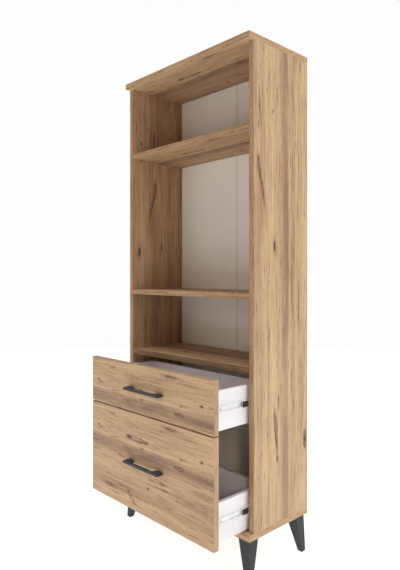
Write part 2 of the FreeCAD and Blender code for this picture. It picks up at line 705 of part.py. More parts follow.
def handle(name, at):
    """Bow handle: two feet that widen towards the drawer front, and a straight square bar."""
    end = "handle_length / 2"
    foot = f"({end} - handle_foot)"
    bar_end = f"({foot} - handle_flare)"
    bar_back = "-(handle_projection - handle_bar)"
    corners = [(f"-({end})", "0"), (f"-({end})", "-handle_projection"),
               (end, "-handle_projection"), (end, "0"),
               (foot, "0"), (bar_end, bar_back), (f"-({bar_end})", bar_back), (f"-({foot})", "0")]
    body = document.addObject("PartDesign::Body", name + "_body")
    sketch = body.newObject("Sketcher::SketchObject", name + "_outline")
    draw_outline(body, sketch, "XY_Plane", corners)
    pad = body.newObject("PartDesign::Pad", name + "_pad")
    pad.Profile = sketch
    pad.setExpression("Length", formula("handle_height"))
    document.recompute()

    # The corners where the bar runs into the feet are rounded.
    tolerance = 1e-6
    front = pad.Shape.BoundBox.YMin
    inner = [f"Edge{number}" for number, edge in enumerate(pad.Shape.Edges, start=1)
             if edge.BoundBox.YLength < tolerance and edge.BoundBox.XLength < tolerance
             and front + tolerance < edge.BoundBox.YMin < -tolerance]
    round_inner = body.newObject("PartDesign::Fillet", name + "_inner_rounds")
    round_inner.Base = (pad, inner)
    round_inner.setExpression("Radius", formula("handle_inner_radius"))
    document.recompute()

    # Every other edge is eased, but for those that lie on the drawer front.
    shape = round_inner.Shape
    eased = [f"Edge{number}" for number, edge in enumerate(shape.Edges, start=1)
             if edge.BoundBox.YMin < -tolerance
             and (edge.BoundBox.ZLength < tolerance or edge.BoundBox.YMax < front + tolerance)]
    ease = body.newObject("PartDesign::Fillet", name + "_eased_edges")
    ease.Base = (round_inner, eased)
    ease.setExpression("Radius", formula("handle_edge_radius"))
    place(body, (at[0], at[1], f"{at[2]} - handle_height / 2"))

    holes = [rod(f"{name}_hole_{number}", "handle_screw_radius + fit_play",
                 "handle_screw_grip + tip_play", (screw_x, at[1], at[2]), "-y")
             for number, screw_x in enumerate(handle_screw_places, start=1)]
    return cut(name, body, holes)


handle_screw_places = ("-handle_screw_reach", "handle_screw_reach")


def drawer(prefix, front_bottom, front_height, screws_through_box):
    """One drawer: its front, box, slides and handle, all at the part-open rest position."""
    name = prefix + "_drawer"
    box_bottom = f"{front_bottom} + box_lift"
    level = f"{box_bottom} + slide_rise"
    handle_z = f"{front_bottom} + {front_height} / 2"
    inner_depth = "box_depth - 2 * box_board"

    # Boards of the drawer.
    boards = {
        "front": (("front_width", "front_thickness", front_height),
                  ("front_left", "front_outer_y", front_bottom)),
        "box_left": (("box_board", "box_depth", "box_height"),
                     ("box_left", "front_inner_y", box_bottom)),
        "box_right": (("box_board", "box_depth", "box_height"),
                      ("box_right_inner", "front_inner_y", box_bottom)),
        "box_front": (("box_inner_width", "box_board", "box_height"),
                      ("box_left_inner", "front_inner_y", box_bottom)),
        "box_back": (("box_inner_width", "box_board", "box_height"),
                     ("box_left_inner", "box_rear_y - box_board", box_bottom)),
    }
    for piece, (lengths, at) in boards.items():
        blanks[f"{name}_{piece}"] = box(f"{name}_{piece}_blank", lengths, at)
        cuts[f"{name}_{piece}"] = []

    # Thin bottom, held in a groove that runs round the inside of the box.
    reach = "(bottom_groove - groove_end_play)"
    inner_front_y = "front_inner_y + box_board"
    node(box(name + "_bottom",
             (f"box_inner_width + 2 * {reach}", f"{inner_depth} + 2 * {reach}", "bottom_thickness"),
             (f"box_left_inner - {reach}", f"{inner_front_y} - {reach}",
              f"{box_bottom} + bottom_rise")), name + "_bottom")
    grooves = {
        "box_left": (("bottom_groove", f"{inner_depth} + 2 * bottom_groove"),
                     ("box_left_inner - bottom_groove", f"{inner_front_y} - bottom_groove")),
        "box_right": (("bottom_groove", f"{inner_depth} + 2 * bottom_groove"),
                      ("box_right_inner", f"{inner_front_y} - bottom_groove")),
        "box_front": (("box_inner_width", "bottom_groove"),
                      ("box_left_inner", f"{inner_front_y} - bottom_groove")),
        "box_back": (("box_inner_width", "bottom_groove"),
                     ("box_left_inner", "box_rear_y - box_board")),
    }
    for piece, ((length, width), (groove_x, groove_y)) in grooves.items():
        cuts[f"{name}_{piece}"].append(
            box(f"{name}_{piece}_groove", (length, width, "bottom_thickness + groove_play"),
                (groove_x, groove_y, f"{box_bottom} + bottom_rise")))

    # Dowels at the four corners of the box.
    corner_dowels = []
    for end, dowel_y in (("box_front", "front_inner_y + box_board / 2"),
                         ("box_back", "box_rear_y - box_board / 2")):
        for side, seam, inwards, outwards, step in (
                ("box_left", "box_left_inner", "+x", "-x", "-"),
                ("box_right", "box_right_inner", "-x", "+x", "+")):
            for number, dowel_z in enumerate(
                    (f"{box_bottom} + box_dowel_inset",
                     f"{box_bottom} + box_height - box_dowel_inset"), start=1):
                drill(f"{name}_{side}", "dowel_radius", "box_hole",
                      (seam, dowel_y, dowel_z), outwards)
                drill(f"{name}_{end}", "dowel_radius", "box_dowel_length - box_grip + tip_play",
                      (seam, dowel_y, dowel_z), inwards)
                corner_dowels.append(copy_of(box_dowel, f"{name}_{end}_{side}_dowel_{number}",
                                             (f"{seam} {step} box_grip", dowel_y, dowel_z),
                                             inwards))
    node(group(name + "_dowels", corner_dowels), name + "_dowels")

    # Screws from inside the box into the visible front.
    front_screws = []
    screw_reach = "(box_inner_width / 2 - front_screw_inset)"
    for number, (screw_x, screw_z) in enumerate(
            ((f"-{screw_reach}", f"{box_bottom} + front_screw_rise"),
             (screw_reach, f"{box_bottom} + front_screw_rise"),
             (f"-{screw_reach}", f"{box_bottom} + box_height - front_screw_rise"),
             (screw_reach, f"{box_bottom} + box_height - front_screw_rise")), start=1):
        drill(name + "_box_front", "front_screw_radius", "box_board",
              (screw_x, inner_front_y, screw_z), "-y")
        drill(name + "_front", "front_screw_radius", "front_screw_hole",
              (screw_x, "front_inner_y", screw_z), "-y")
        front_screws.append(copy_of(front_screw, f"{name}_front_screw_{number}",
                                    (screw_x, inner_front_y, screw_z), "-y"))
    node(group(name + "_front_screws", front_screws), name + "_front_screws")

    # Handle, and its two screws through everything that stands behind it.
    node(handle(name + "_handle", ("0", "front_outer_y", handle_z)), name + "_handle")
    grip = "front_thickness + box_board" if screws_through_box else "front_thickness"
    handle_screw = screw(name + "_handle_screw_model", "handle_screw_radius",
                         f"{grip} + handle_screw_grip", "handle_screw_head")
    handle_screws = []
    for number, screw_x in enumerate(handle_screw_places, start=1):
        seat_y = f"front_outer_y + {grip}"
        drill(name + "_front", "handle_screw_radius", "front_thickness",
              (screw_x, "front_inner_y", handle_z), "-y")
        if screws_through_box:
            drill(name + "_box_front", "handle_screw_radius", "box_board",
                  (screw_x, seat_y, handle_z), "-y")
        handle_screws.append(copy_of(handle_screw, f"{name}_handle_screw_{number}",
                                     (screw_x, seat_y, handle_z), "-y"))
    node(group(name + "_handle_screws", handle_screws), name + "_handle_screws")

    # Slides: a rail on the cabinet, a rail on the drawer and a middle rail that runs between them.
    open_start = "slide_start - rest_opening"
    middle_rails = []
    drawer_rail_screws = []
    for side, wall, sign in walls:
        towards_wall = "-x" if sign > 0 else "+x"
        towards_drawer = "+x" if sign > 0 else "-x"
        cabinet_rail = channel(f"{prefix}_{side}_cabinet_rail_body", sign, "0", "+",
                               "outer_rail_flange", "outer_half", "outer_lip",
                               "slide_length", (wall, "slide_start", level))
        drawer_rail = channel(f"{prefix}_{side}_drawer_rail_body", sign, "slide_thickness", "-",
                              "inner_rail_edge", "inner_half", None,
                              "slide_length", (wall, open_start, level))
        middle_rails.append(channel(
            f"{prefix}_{side}_middle_rail", sign, "middle_rail_web", "+", "middle_rail_edge",
            "middle_half", None, "middle_rail_length",
            (wall, "slide_start + middle_rail_setback - rest_opening / 2", level)))

        cabinet_rail_holes = []
        drawer_rail_holes = []
        for number, distance in enumerate(
                ("first_rail_screw", "slide_length - last_rail_screw"), start=1):
            label = f"{prefix}_{side}_rail_screw_{number}"
            cabinet_y = f"slide_start + {distance}"
            cabinet_rail_holes.append(rod(label + "_cabinet_hole", "rail_screw_radius + fit_play",
                                          "slide_wall", (wall, cabinet_y, level), towards_drawer))
            drill(side + "_side", "rail_screw_radius", "box_hole",
                  (wall, cabinet_y, level), towards_wall)
            cabinet_rail_screws.append(copy_of(rail_screw, label + "_cabinet",
                                               (across(wall, sign, "slide_wall"), cabinet_y, level),
                                               towards_wall))
            drawer_y = f"{open_start} + {distance}"
            drawer_face = across(wall, sign, "slide_thickness")
            drawer_rail_holes.append(rod(label + "_drawer_hole", "rail_screw_radius + fit_play",
                                         "slide_wall", (drawer_face, drawer_y, level), towards_wall))
            drill(f"{name}_box_{side}", "rail_screw_radius", "box_hole",
                  (drawer_face, drawer_y, level), towards_drawer)
            drawer_rail_screws.append(copy_of(
                rail_screw, label + "_drawer",
                (across(wall, sign, "slide_thickness - slide_wall"), drawer_y, level),
                towards_drawer))

        # A slot in the drawer's rail lets its height be set.
        slot_x = low_corner(sign, across(wall, sign, "slide_thickness - slide_wall"),
                            across(wall, sign, "slide_thickness"))
        drawer_rail_holes.append(box(
            f"{prefix}_{side}_rail_slot", ("slide_wall", "rail_slot_length", "rail_slot_width"),
            (slot_x, f"{open_start} + rail_slot_distance - rail_slot_length / 2",
             f"{level} - rail_slot_width / 2")))
        rail_name = f"{prefix}_{side}_cabinet_rail"
        node(cut(rail_name, cabinet_rail, cabinet_rail_holes), rail_name)
        rail_name = f"{name}_{side}_rail"
        node(cut(rail_name, drawer_rail, drawer_rail_holes), rail_name)
    node(group(name + "_rail_screws", drawer_rail_screws), name + "_rail_screws")
    node(group(prefix + "_middle_rails", middle_rails), prefix + "_middle_rails")

    # Balls in their cages: the outer ones travel a quarter of the way, the inner three quarters.
    node(ball_cage(prefix + "_outer_ball_cages", "slide_wall + cage_side_play",
                   "outer_rail_flange - slide_wall - cage_side_play",
                   "slide_start + outer_cage_setback - rest_opening / 4", "outer_cage_length",
                   "outer_ball_radius", "outer_ball_u", "outer_ball_z", outer_ball_count, level),
         prefix + "_outer_ball_cages")
    node(ball_cage(prefix + "_inner_ball_cages", "middle_rail_web + slide_wall + cage_side_play",
                   "slide_thickness - slide_wall - cage_side_play",
                   "slide_start + inner_cage_setback - rest_opening * 3 / 4", "inner_cage_length",
                   "inner_ball_radius", "inner_ball_u", "inner_ball_z", inner_ball_count, level),
         prefix + "_inner_ball_cages")


drawer("upper", "upper_front_bottom", "upper_front_height", screws_through_box=True)
drawer("lower", "lower_front_bottom", "lower_front_height", screws_through_box=False)
node(group("cabinet_rail_screws", cabinet_rail_screws), "cabinet_rail_screws")

# ---------------------------------------------------------------------------
# Boards last, when every hole in them is known.
# ---------------------------------------------------------------------------

for name, blank in blanks.items():
    board = cut(name, blank, cuts[name]) if cuts[name] else blank
    node(board, name)
document.recompute()

# ---------------------------------------------------------------------------
# Check, then write.
# ---------------------------------------------------------------------------

for item in document.Objects:
    if "Invalid" in item.State or "Error" in item.State:
        raise RuntimeError(f"{item.Name} failed: {item.State}")
for item in nodes:
    if item.Shape.isNull() or not item.Shape.isValid() or not item.Shape.Solids:
        raise RuntimeError(f"{item.Label} has no valid solid")

os.makedirs("parts", exist_ok=True)
for item in nodes:
    item.Shape.exportStep(f"parts/{item.Label}.step")
print(len(nodes), "sub-parts written")
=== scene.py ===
import math

import bmesh
import bpy
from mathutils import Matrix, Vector


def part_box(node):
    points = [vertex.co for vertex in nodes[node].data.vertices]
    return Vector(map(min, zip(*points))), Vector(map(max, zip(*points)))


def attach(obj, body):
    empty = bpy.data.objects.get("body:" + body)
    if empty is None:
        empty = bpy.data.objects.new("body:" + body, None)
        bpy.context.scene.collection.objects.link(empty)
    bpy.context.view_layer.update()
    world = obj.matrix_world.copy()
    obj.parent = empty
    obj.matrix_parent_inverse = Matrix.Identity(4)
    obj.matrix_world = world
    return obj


# ---------------------------------------------------------------------------
# The bookcase as it was built: every board, rail and fixing is already in its place.
# All places are in metres, with the floor at zero and the open side facing -Y.
# ---------------------------------------------------------------------------

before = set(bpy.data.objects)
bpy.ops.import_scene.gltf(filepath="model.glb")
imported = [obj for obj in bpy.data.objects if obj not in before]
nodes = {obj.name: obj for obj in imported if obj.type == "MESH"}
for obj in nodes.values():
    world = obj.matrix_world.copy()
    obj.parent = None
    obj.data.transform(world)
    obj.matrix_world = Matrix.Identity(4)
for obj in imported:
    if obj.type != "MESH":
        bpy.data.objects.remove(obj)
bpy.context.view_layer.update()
mm = 0.001

# ---------------------------------------------------------------------------
# The two sides: 18 mm chipboard covered with a rustic oak print, its grain upright.
# The print is a matt melamine paper with streaks, cracks and knots under the press plate's fine
# pores. The front edges carry a thin band of the same print, a little darker.
# ---------------------------------------------------------------------------


class Shade:
    """One output of a node. Sums on it add Math nodes, and node() adds a node of any kind."""

    def __init__(self, tree, made=None, output=0):
        self.tree = tree
        self.made = made
        self.socket = made.outputs[output] if made is not None and made.outputs else None

    def __getitem__(self, output):
        return Shade(self.tree, self.made, output)

    def node(self, kind, settings, inputs, output=0):
        """Add a node of a kind: its settings first, then the values or links of its sockets."""
        made = self.tree.nodes.new("ShaderNode" + kind)
        for key, value in settings.items():
            if key == "stops":
                while len(made.color_ramp.elements) < len(value):
                    made.color_ramp.elements.new(0.5)
                for stop, (position, colour) in zip(made.color_ramp.elements, value):
                    stop.position = position
                    stop.color = colour
            else:
                setattr(made, key, value)
        for key, value in inputs.items():
            if isinstance(value, Shade):
                self.tree.links.new(value.socket, made.inputs[key])
            else:
                made.inputs[key].default_value = value
        return Shade(self.tree, made, output)

    def math(self, operation, first, second=0.0):
        return self.node("Math", {"operation": operation}, {0: first, 1: second})

    def __add__(self, other):
        return self.math("ADD", self, other)

    def __radd__(self, other):
        return self.math("ADD", other, self)

    def __sub__(self, other):
        return self.math("SUBTRACT", self, other)

    def __rsub__(self, other):
        return self.math("SUBTRACT", other, self)

    def __mul__(self, other):
        return self.math("MULTIPLY", self, other)

    def __rmul__(self, other):
        return self.math("MULTIPLY", other, self)

    def __abs__(self):
        return self.math("ABSOLUTE", self)

    def over(self, limit):
        """1 where this is above a limit, and 0 elsewhere."""
        return self.math("GREATER_THAN", self, limit)

    def fade(self, start, end, low=0.0, high=1.0):
        """Eased change from low at start to high at end, and level outside them."""
        return self.node("MapRange", {"interpolation_type": "SMOOTHSTEP"},
                         {"Value": self, "From Min": start, "From Max": end,
                          "To Min": low, "To Max": high})

    def ramp(self, *stops):
        """Colours along this value, each stop a position and its colour."""
        return self.node("ValToRGB", {"stops": stops}, {"Fac": self})

    def bump(self, strength, distance):
        """Normals of a surface with this height, in steps of the distance."""
        return self.node("Bump", {}, {"Strength": strength, "Distance": distance,
                                      "Height": self}, "Normal")

    def length(self):
        return self.node("VectorMath", {"operation": "LENGTH"}, {0: self}, "Value")

    def parts(self):
        """X, Y and Z of this vector, to be picked by name."""
        return self.node("SeparateXYZ", {}, {"Vector": self})

    def vector(self, x, y, z):
        return self.node("CombineXYZ", {}, {"X": x, "Y": y, "Z": z})

    def noise(self, place, stretch, detail=2.0, roughness=0.5):
        """Smooth random pattern, with as many waves to a metre each way as stretch says."""
        scaled = self.node("VectorMath", {"operation": "MULTIPLY"}, {0: place, 1: stretch})
        return self.node("TexNoise", {}, {"Vector": scaled, "Scale": 1.0, "Detail": detail,
                                          "Roughness": roughness})

    def blend(self, share, first, second, way="MIX"):
        """Two colours mixed, the second by a share."""
        return self.node("Mix", {"data_type": "RGBA", "blend_type": way},
                         {0: share, 6: first, 7: second}, 2)


def tone(red, green, blue):
    """A colour given as it looks, 0 to 255, as the shader needs it."""
    return tuple((part / 255) ** 2.2 for part in (red, green, blue)) + (1.0,)


def new_material(name, **constants):
    """Material with its even values set, a Shade to build the rest from, and the object's places."""
    made = bpy.data.materials.new(name)
    made.use_nodes = True
    shader = made.node_tree.nodes["Principled BSDF"]
    for key, value in constants.items():
        shader.inputs[key.replace("_", " ")].default_value = value
    s = Shade(made.node_tree)
    return made, s, s.node("TexCoord", {}, {}, "Object")


def connect(material, **wires):
    """Feed the shader's sockets from the nodes."""
    shader = material.node_tree.nodes["Principled BSDF"]
    for key, wire in wires.items():
        material.node_tree.links.new(wire.socket, shader.inputs[key.replace("_", " ")])


def give(material, *names):
    """Put one material on CAD nodes."""
    for name in names:
        slots = nodes[name].data.materials
        slots.clear()
        slots.append(material)


def ease(width, *names):
    """Round the outer edges of CAD nodes a little, as a file or the mould leaves them.

    Their triangles are first welded and joined into flat faces, so that only real edges round.
    """
    for name in names:
        weld = nodes[name].modifiers.new("weld", "WELD")
        weld.merge_threshold = 0.01 * mm
        flat = nodes[name].modifiers.new("flat", "DECIMATE")
        flat.decimate_type = "DISSOLVE"
        flat.angle_limit = math.radians(1)
        bevel = nodes[name].modifiers.new("ease", "BEVEL")
        bevel.width = width
        bevel.segments = 2
        bevel.limit_method = "ANGLE"
        bevel.angle_limit = math.radians(50)
        bevel.use_clamp_overlap = False


oak_pale = tone(216, 189, 152)
oak_mid = tone(200, 170, 136)
oak_deep = tone(178, 143, 114)
oak_umber = tone(146, 110, 84)
oak_grey = tone(150, 120, 96)
oak_smoke = tone(148, 124, 112)
oak_crack = tone(90, 64, 48)
oak_rosy = (0.985, 0.93, 0.94, 1.0)
oak_band = (0.92, 0.89, 0.88, 1.0)
plain = (1.0, 1.0, 1.0, 1.0)
glue_line = tone(96, 72, 52)
chip_pale = tone(206, 176, 134)
chip_dark = tone(128, 96, 64)

# How far the fibres wander, curl, and are drawn in towards a knot.
wander_width = 16 * mm
curl_width = 9 * mm
knot_pull = 0.6

# The stretch across the print that its lanes cover, the tone that they keep to, and how much
# broad bands, streaks, lines and fibres add to it.
lanes_start, lanes_width = -170 * mm, 480 * mm
even_tone = 0.4
broad_depth, streak_depth, line_depth, fibre_depth = 0.9, 0.9, 1.15, 0.65

# Marks go this deep into the board, and their rims are ragged by a share of their width.
mark_depth = 6 * mm
ragged_share = 1.1

# Edge bands are this thick, and show on the faces as a line of glue that fades over this width.
band_thickness = 0.9 * mm
glue_core, glue_edge = 0.08 * mm, 0.22 * mm


def run_fibres(s, along, across, into, marks):
    """Where the fibres run: they wander a little, and part round every knot.

    Gives the straight places, the way across as the fibres bend it, and each mark's kind with
    how far out of it a place is: 0 at its middle, 1 at its rim.
    """
    straight = s.vector(along, across, into)
    wander = s.noise(straight, (1.9, 6.0, 6.0))
    bent = across + (wander - 0.5) * wander_width
    ragged = s.noise(straight, (60.0, 260.0, 60.0)) - 0.5
    reaches = []
    for kind, at, off, length, width, lean in marks:
        shaken = s.vector(along, across + ragged * (ragged_share * width * mm), into)
        local = s.node("Mapping", {"vector_type": "TEXTURE"},
                       {"Vector": shaken, "Location": (at * mm, off * mm, 0.0),
                        "Rotation": (0.0, 0.0, math.radians(lean)),
                        "Scale": (length * mm, width * mm, mark_depth)})
        reach = local.length()
        reaches.append((kind, reach))
        if kind == "knot":
            bent = bent + (off * mm - bent) * reach.fade(3.4, 0.7) * knot_pull
    return straight, bent, reaches


def dark_mark(s, kind, reach, strand):
    """How much a mark greys the print round it, and how dark it is itself.

    Cracks are dark strands, knots dark cores in thin rings, streaks broken brown lines, and
    rings the dark outline of an overgrown branch.
    """
    if kind == "knot":
        ring = s.math("FRACT", reach * 1.9).fade(0.55, 0.9) * reach.fade(2.9, 1.4)
        core = s.math("MAXIMUM", reach.fade(1.05, 0.6) * 0.94, ring * 0.42)
        return reach.fade(2.6, 0.8) * 0.45, core
    if kind == "ring":
        outline = abs(reach - 0.85).fade(0.34, 0.10)
        return reach.fade(1.2, 0.7) * 0.3, outline * strand.fade(0.36, 0.54) * 0.85
    if kind == "crack":
        return reach.fade(1.7, 0.5) * 0.4, reach.fade(1.15, 0.45) * strand.fade(0.44, 0.58) * 0.85
    return reach.fade(1.5, 0.2) * 0.35, reach.fade(1.2, 0.3) * strand.fade(0.45, 0.64) * 0.55


def oak(name, along, across, into, figure, rims, ends=False, tint=plain, band=oak_band, gloss=0.46):
    """Give one board the oak print.

    along the grain, across it and into the board are each an axis, a way and a start. The figure
    is its lanes of tone across the print, its stains, which are wide soft bands, and its marks.
    rims are the planes of the edges with a band, as an axis, a way inwards and a start. With ends,
    the print turns on the two end edges. The face tint multiplies the faces, and on the shelves it
    is painted shade; band is the edge band's tone, a little darker than the faces, and on the
    shelves darkened further as painted shade. gloss is how strongly the faces shine.
    """
    material, s, place = new_material("oak_" + name, Roughness=0.5, Specular_IOR_Level=gloss)
    lanes, stains, marks = figure
    split = place.parts()
    facing = place["Normal"].parts()

    def measure(axis, way, start):
        return (split[axis] - start) * way

    edge_face = 1 - abs(facing[into[0]]).over(0.5)
    run, cross, deep = measure(*along), measure(*across), measure(*into)
    if ends:
        turned = abs(facing[along[0]]).over(0.5)
        swap = (cross - run) * turned
        run, cross = run + swap, cross - swap
    straight, bent, reaches = run_fibres(s, run, cross, deep, marks)
    curl = s.noise(straight, (9.0, 26.0, 26.0)) - 0.5
    grain = s.vector(run, bent + curl * curl_width, deep)

    # Lanes of tone a few centimetres wide, streaks within them, and fibres within those.
    stops = [((at * mm - lanes_start) / lanes_width, (value,) * 3 + (1.0,)) for at, value in lanes]
    lane = (bent * (1 / lanes_width) - lanes_start / lanes_width).ramp(*stops)
    vary = s.noise(straight, (2.0, 14.0, 14.0)).fade(0.25, 0.75, 0.35, 1.75)
    broad = s.noise(grain, (1.3, 30.0, 30.0))
    streak = s.noise(grain, (2.6, 120.0, 90.0), 3.0, 0.65)
    line = s.noise(grain, (3.0, 330.0, 200.0), 2.0, 0.6)
    fibre = s.noise(grain, (14.0, 900.0, 500.0), 2.0, 0.6)
    depth = (lane - even_tone) * vary + even_tone
    for layer, share in ((broad, broad_depth), (streak, streak_depth), (line, line_depth),
                         (fibre, fibre_depth)):
        depth = depth + (layer - 0.5) * share
    colour = (depth * 0.667).ramp((0.0, oak_pale), (0.333, oak_mid), (0.667, oak_deep),
                                  (1.0, oak_umber))
    rosy = s.noise(grain, (1.2, 42.0, 42.0)).fade(0.46, 0.64)
    colour = s.blend(rosy * 0.9, colour, s.blend(1.0, colour, oak_rosy, "MULTIPLY"))
    colour = s.blend(line.fade(0.53, 0.68) * streak.fade(0.42, 0.6) * 0.6, colour, oak_grey)

    # Short dark and pale slivers, where the saw ran in and out of the year rings.
    sliver = s.noise(grain, (8.0, 190.0, 150.0), 4.0, 0.75)
    colour = s.blend(sliver.fade(0.555, 0.61) * 0.70, colour, oak_umber)
    colour = s.blend(sliver.fade(0.43, 0.38) * 0.70, colour, oak_pale)

    # Wide grey-brown bands with soft edges, and fine ripples left across the grain by the saw.
    ripple = s.noise(grain, (430.0, 30.0, 30.0), 1.0).fade(0.38, 0.62)
    flame = s.noise(grain, (6.0, 150.0, 60.0), 3.0, 0.75).fade(0.34, 0.66)
    for off, width, strength in stains:
        patch = s.noise(straight, (4.5, 26.0, 26.0))
        share = abs(bent - off * mm).fade(width * mm, 0.3 * width * mm) * patch.fade(0.22, 0.6)
        share = share * (0.25 + flame * 0.55 + ripple * 0.3) * strength
        colour = s.blend(share, colour, oak_smoke)
    colour = s.blend(ripple * broad.fade(0.35, 0.7) * 0.12, colour, oak_grey)

    # The marks, the dark ones pressed in a little.
    strand = s.noise(grain, (22.0, 560.0, 100.0), 2.0, 0.65)
    dents = fibre * 0.3
    for kind, reach in reaches:
        if kind == "pale":
            share = reach.fade(1.2, 0.3) * strand.fade(0.38, 0.55) * 0.9
            colour = s.blend(share, colour, oak_pale)
        else:
            halo, share = dark_mark(s, kind, reach, strand)
            colour = s.blend(halo, colour, oak_grey)
            colour = s.blend(share, colour, oak_crack)
            dents = dents - share

    # The press plate's pores: short fine dashes all over.
    pore = s.noise(grain, (60.0, 1500.0, 900.0), 1.0).fade(0.58, 0.70)
    colour = s.blend(pore * 0.3, colour, oak_grey)

    # The edge bands end in a hair line of glue on the faces; rear edges show bare chipboard.
    # The faces take the face tint and the edges the band's tone; on the shelves both are painted
    # shade.
    colour = s.blend(1.0, colour, s.blend(edge_face, tint, band), "MULTIPLY")
    for axis, way, start in rims:
        from_seam = abs(measure(axis, way, start) - band_thickness)
        colour = s.blend(from_seam.fade(glue_edge, glue_core) * (1 - edge_face) * 0.6, colour,
                         glue_line)
    flakes = s.noise(place, (330.0, 330.0, 330.0), 3.0, 0.8)
    chips = flakes.ramp((0.38, chip_dark), (0.52, chip_pale), (0.7, oak_mid))
    raw = facing["Y"].over(0.5) * float(into[0] != "Y")
    colour = s.blend(raw, colour, chips)
    dents = dents - pore * 0.4 + raw * flakes * 3.0
    connect(material, Base_Color=colour, Roughness=0.46 + streak * 0.16 + raw * 0.3,
            Normal=dents.bump(0.25, 0.4 * mm))
    give(material, name)


# Each mark: its kind, its place along the upright print from the floor and across it from the
# middle of the frame, half its length, half its width (all in mm), and its lean in degrees.
upright_marks = [
    ("crack", 1362, -12, 40, 4.4, -4),
    ("crack", 1312, -17, 20, 3.0, 0),
    ("pale", 1268, -15, 44, 3.0, -3),
    ("crack", 1200, -18, 30, 4.4, -6),
    ("crack", 1160, -6, 44, 6.0, -8),
    ("ring", 1196, -15, 34, 5.0, -4),
    ("ring", 1130, 2, 30, 5.0, -10),
    ("crack", 1106, 6, 34, 4.6, -9),
    ("knot", 1369, 49, 4, 2.6, 0),
    ("streak", 1507, 82, 18, 4.0, 0),
    ("knot", 968, 56, 17, 4.4, 0),
    ("streak", 975, 152, 110, 5.0, 0),
    ("streak", 1050, 146, 50, 3.0, 0),
    ("crack", 880, 140, 130, 2.6, 0),
    ("crack", 785, 175, 100, 4.4, 0),
    ("streak", 890, 126, 46, 4.0, 0),
    ("streak", 780, -26, 30, 3.0, 0),
    ("crack", 498, 75, 26, 4.4, 0),
    ("crack", 432, 59, 60, 7.0, -6),
    ("crack", 372, 67, 32, 5.0, -3),
    ("knot", 330, 69, 9, 3.0, 0),
    ("ring", 420, 62, 44, 5.5, -4),
    ("ring", 362, 208, 30, 8.0, 0),
    ("streak", 478, 149, 40, 5.0, 0),
    ("streak", 256, 155, 36, 5.0, 0),
    ("streak", 240, 28, 60, 2.6, 0),
    ("knot", 362, 208, 17, 5.0, 0),
    ("streak", 1330, 205, 60, 3.0, 0),
    ("streak", 1180, 180, 80, 2.6, 0),
    ("streak", 620, 205, 80, 3.0, 0),
]

# Each lane: its place across the print in mm, and how deep its tone is. Each stain: its place
# across, half its width in mm, and its strength.
upright_lanes = [(-172, 0.90), (-138, 0.85), (-117, 0.50), (-95, 0.66), (-64, 0.38),
                 (-38, 0.50), (-22, 0.48), (10, 0.44), (17, 0.10), (25, 0.46), (29, 0.66),
                 (32, 0.22), (46, 0.02), (54, 0.14), (60, 0.36), (74, 0.30), (84, 0.52),
                 (98, 0.56), (106, 0.72), (119, 0.84), (123, 0.50), (130, 0.18), (137, 0.52),
                 (152, 0.62), (160, 0.28), (172, 0.24), (176, 0.62), (182, 0.20), (194, 0.30),
                 (202, 0.02), (212, 0.14), (220, 0.40)]
upright_stains = [(108, 22, 0.75)]

right_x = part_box("right_side")[1].x
left_inner_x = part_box("left_side")[1].x
side_front_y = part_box("right_side")[0].y

oak("right_side", ("Z", 1, 0.0), ("Y", 1, 0.0), ("X", -1, right_x),
    (upright_lanes, upright_stains, upright_marks), [("Y", 1, side_front_y)])

# The left side is cut from the same print, turned over, and its lanes are deepened over the whole
# board as painted shade for its inside face, which stands in the bookcase's shade. These marks
# fall where only it shows, and it shares the right side's as far as its front edge.
mirror_y = 48 * mm
left_front = mirror_y - side_front_y
left_marks = [
    ("knot", 986, -49, 12, 3.0, 0),
    ("streak", 856, -82, 26, 4.0, 0),
    ("streak", 706, -101, 20, 5.0, 0),
    ("crack", 708, -143, 18, 4.0, 0),
    ("crack", 1184, -146, 60, 3.0, 0),
    ("pale", 1292, -132, 40, 8.0, 0),
    ("crack", 1397, -11, 24, 4.0, 0),
    ("streak", 1555, 52, 12, 5.0, 0),
]
left_marks += [mark for mark in upright_marks if mark[2] * mm < left_front]
# Painted shade: every lane made deeper than on the right side.
left_lanes_with_shade = [(at, min(value + 0.15, 1.0)) for at, value in upright_lanes]
oak("left_side", ("Z", 1, 0.0), ("Y", -1, mirror_y), ("X", -1, left_inner_x),
    (left_lanes_with_shade, upright_stains, left_marks), [("Y", 1, side_front_y)])
ease(0.6 * mm, "left_side", "right_side")
